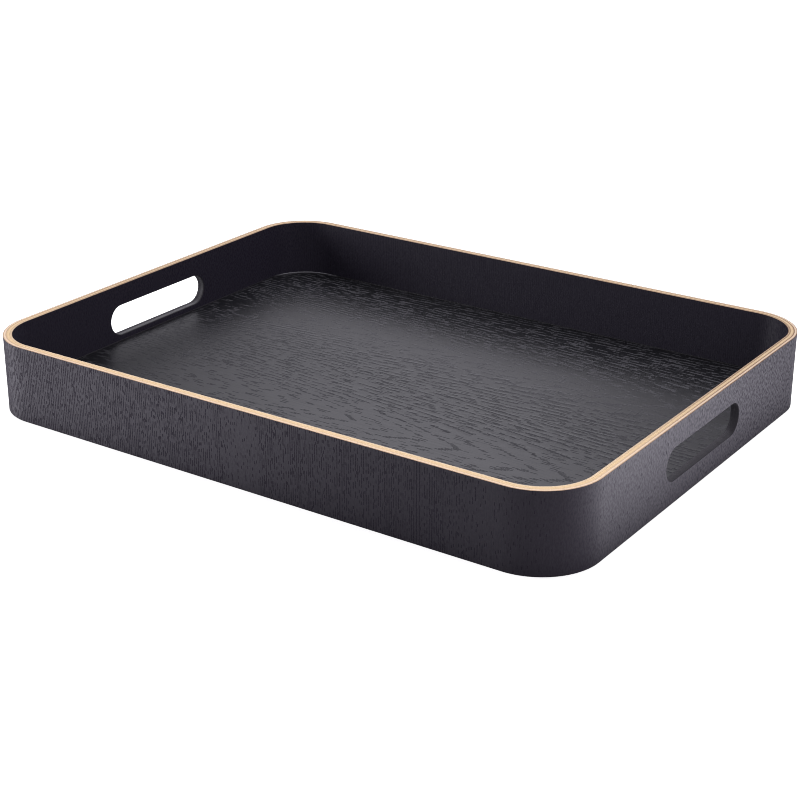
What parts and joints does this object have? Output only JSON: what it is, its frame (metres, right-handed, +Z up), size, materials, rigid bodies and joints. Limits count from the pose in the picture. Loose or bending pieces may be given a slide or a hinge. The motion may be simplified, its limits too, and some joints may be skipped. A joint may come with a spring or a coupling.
{
  "type": "serving tray",
  "caption": "Low rectangular serving tray with round corners: bent plywood wall with a bare light rim, a hand slot in each end, and a black-stained veneered base.",
  "frame": {"origin": "centre of the tray's outline, on the table that it stands on", "axes": "+X along the tray towards one hand slot, +Y across it, +Z up"},
  "size_m": [0.45, 0.344, 0.053],
  "materials": {
    "black_veneer": "open-pored ash veneer, stained black, satin lacquer",
    "bare_ply": "light hardwood ply, sanded edge with a clear lacquer"
  },
  "bodies": {
    "root": {"outer_face_veneer": "black_veneer", "outer_crossband": "bare_ply", "outer_core_ply": "bare_ply", "inner_core_ply_upper": "bare_ply", "inner_core_ply_lower": "bare_ply", "inner_crossband_upper": "bare_ply", "inner_crossband_lower": "bare_ply", "inner_face_veneer_upper": "black_veneer", "inner_face_veneer_lower": "black_veneer", "base_back_veneer": "black_veneer", "base_lower_crossband": "bare_ply", "base_core": "bare_ply", "base_upper_crossband": "bare_ply", "base_face_veneer": "black_veneer"}
  },
  "joints": []
}
